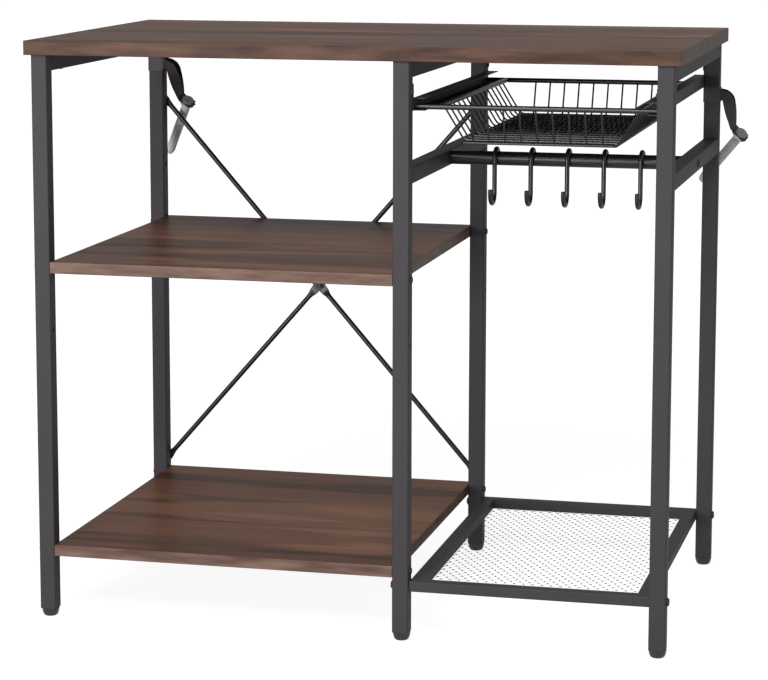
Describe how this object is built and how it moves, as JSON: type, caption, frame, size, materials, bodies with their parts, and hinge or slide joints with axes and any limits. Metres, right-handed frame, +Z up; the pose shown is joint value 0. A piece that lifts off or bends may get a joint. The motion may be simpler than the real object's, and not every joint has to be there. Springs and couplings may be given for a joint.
{
  "type": "bakers rack",
  "caption": "Free-standing bakers rack: wood-grain top and shelves on a black square-tube frame, with a pull-out wire basket, a bar of hooks and an open mesh shelf.",
  "frame": {"origin": "on the floor under the middle of the footprint, wall straps and plugs included", "axes": "+X to the right along the tabletop's long side, +Y to the back, +Z up; the open front faces -Y"},
  "size_m": [1.0352, 0.6782, 0.9],
  "materials": {
    "wood_board": "dark walnut-grain melamine, satin",
    "frame_coat": "charcoal-black powder coat, fine satin",
    "wire_coat": "black powder coat on wire, semi-gloss",
    "black_fastener": "black oxide",
    "zinc": "zinc plated",
    "foot_plastic": "gloss black",
    "strap_nylon": "matt dark nylon",
    "plug_plastic": "translucent light grey plastic"
  },
  "bodies": {
    "frame": {"tabletop": "wood_board", "middle_shelf": "wood_board", "lower_shelf": "wood_board", "front_left_leg": "frame_coat", "rear_left_leg": "frame_coat", "front_middle_leg": "frame_coat", "rear_middle_leg": "frame_coat", "front_right_leg": "frame_coat", "rear_right_leg": "frame_coat", "left_top_rail": "frame_coat", "middle_top_rail": "frame_coat", "right_top_rail": "frame_coat", "middle_hook_rail": "frame_coat", "right_hook_rail": "frame_coat", "mesh_shelf_front_rail": "frame_coat", "mesh_shelf_rear_rail": "frame_coat", "mesh_shelf_left_rail": "frame_coat", "mesh_shelf_right_rail": "frame_coat", "middle_basket_slide": "frame_coat", "right_basket_slide": "frame_coat", "hook_bar": "frame_coat", "brace_upper_left": "frame_coat", "brace_upper_right": "frame_coat", "brace_lower_left": "frame_coat", "brace_lower_right": "frame_coat", "shelf_mesh": "wire_coat", "shelf_bolts": "black_fastener", "mesh_shelf_bolts": "black_fastener", "hook_bar_bolts": "black_fastener", "brace_bolts": "black_fastener", "slide_screws": "black_fastener", "tabletop_screws": "zinc", "shelf_inserts": "zinc", "hook_bar_inserts": "zinc", "anchor_screws": "zinc", "leg_plugs": "foot_plastic", "left_anchor_strap": "strap_nylon", "right_anchor_strap": "strap_nylon", "anchor_plugs": "plug_plastic"},
    "basket": {"basket_front_rim": "wire_coat", "basket_rear_rim": "wire_coat", "basket_left_rim": "wire_coat", "basket_right_rim": "wire_coat", "basket_front_wires": "wire_coat", "basket_rear_wires": "wire_coat", "basket_left_wires": "wire_coat", "basket_right_wires": "wire_coat", "basket_foot_wire": "wire_coat", "basket_floor": "wire_coat"},
    "hook_1": {"hook_1": "wire_coat"},
    "hook_2": {"hook_2": "wire_coat"},
    "hook_3": {"hook_3": "wire_coat"},
    "hook_4": {"hook_4": "wire_coat"},
    "hook_5": {"hook_5": "wire_coat"},
    "front_left_foot": {"front_left_foot": "foot_plastic"},
    "rear_left_foot": {"rear_left_foot": "foot_plastic"},
    "front_middle_foot": {"front_middle_foot": "foot_plastic"},
    "rear_middle_foot": {"rear_middle_foot": "foot_plastic"},
    "front_right_foot": {"front_right_foot": "foot_plastic"},
    "rear_right_foot": {"rear_right_foot": "foot_plastic"}
  },
  "joints": [
    {"name": "basket_slide", "type": "slide", "parent": "frame", "child": "basket", "axis": [0, -1, 0], "range_m": [0, 0.35]},
    {"name": "hook_1_swing", "type": "hinge", "parent": "frame", "child": "hook_1", "pos_m": [0.15575, -0.03914, 0.7075], "axis": [1, 0, 0], "range_deg": [-50, 50]},
    {"name": "hook_2_swing", "type": "hinge", "parent": "frame", "child": "hook_2", "pos_m": [0.21325, -0.03914, 0.7075], "axis": [1, 0, 0], "range_deg": [-50, 50]},
    {"name": "hook_3_swing", "type": "hinge", "parent": "frame", "child": "hook_3", "pos_m": [0.27075, -0.03914, 0.7075], "axis": [1, 0, 0], "range_deg": [-50, 50]},
    {"name": "hook_4_swing", "type": "hinge", "parent": "frame", "child": "hook_4", "pos_m": [0.32825, -0.03914, 0.7075], "axis": [1, 0, 0], "range_deg": [-50, 50]},
    {"name": "hook_5_swing", "type": "hinge", "parent": "frame", "child": "hook_5", "pos_m": [0.38575, -0.03914, 0.7075], "axis": [1, 0, 0], "range_deg": [-50, 50]},
    {"name": "front_left_foot_level", "type": "slide", "parent": "frame", "child": "front_left_foot", "axis": [0, 0, -1], "range_m": [0, 0.008]},
    {"name": "rear_left_foot_level", "type": "slide", "parent": "frame", "child": "rear_left_foot", "axis": [0, 0, -1], "range_m": [0, 0.008]},
    {"name": "front_middle_foot_level", "type": "slide", "parent": "frame", "child": "front_middle_foot", "axis": [0, 0, -1], "range_m": [0, 0.008]},
    {"name": "rear_middle_foot_level", "type": "slide", "parent": "frame", "child": "rear_middle_foot", "axis": [0, 0, -1], "range_m": [0, 0.008]},
    {"name": "front_right_foot_level", "type": "slide", "parent": "frame", "child": "front_right_foot", "axis": [0, 0, -1], "range_m": [0, 0.008]},
    {"name": "rear_right_foot_level", "type": "slide", "parent": "frame", "child": "rear_right_foot", "axis": [0, 0, -1], "range_m": [0, 0.008]}
  ]
}
